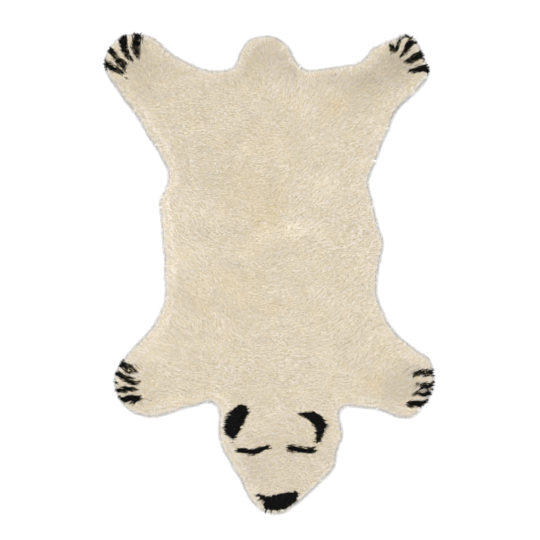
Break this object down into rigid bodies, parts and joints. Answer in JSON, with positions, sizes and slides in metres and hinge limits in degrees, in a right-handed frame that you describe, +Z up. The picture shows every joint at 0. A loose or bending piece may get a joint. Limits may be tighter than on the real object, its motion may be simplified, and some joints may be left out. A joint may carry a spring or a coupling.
{
  "type": "bear shaped kids rug",
  "caption": "Flat wool pile rug in the outline of a bear hide, cream with black claws, ears, closed eyes and nose; lies on the floor of a child's room.",
  "frame": {"origin": "on the floor under the middle of the rug's outline box", "axes": "+Z up out of the pile, +Y from the muzzle towards the tail, +X to the right of the head as seen from above with the head at the bottom"},
  "size_m": [1.1, 1.6, 0.0295],
  "materials": {
    "cream_wool": "dense cut pile of undyed cream wool, matt with a soft sheen",
    "black_wool": "the same cut pile in black yarn, for claws, ears, eyes and nose"
  },
  "bodies": {
    "root": {"rug": "cream_wool"}
  },
  "joints": []
}
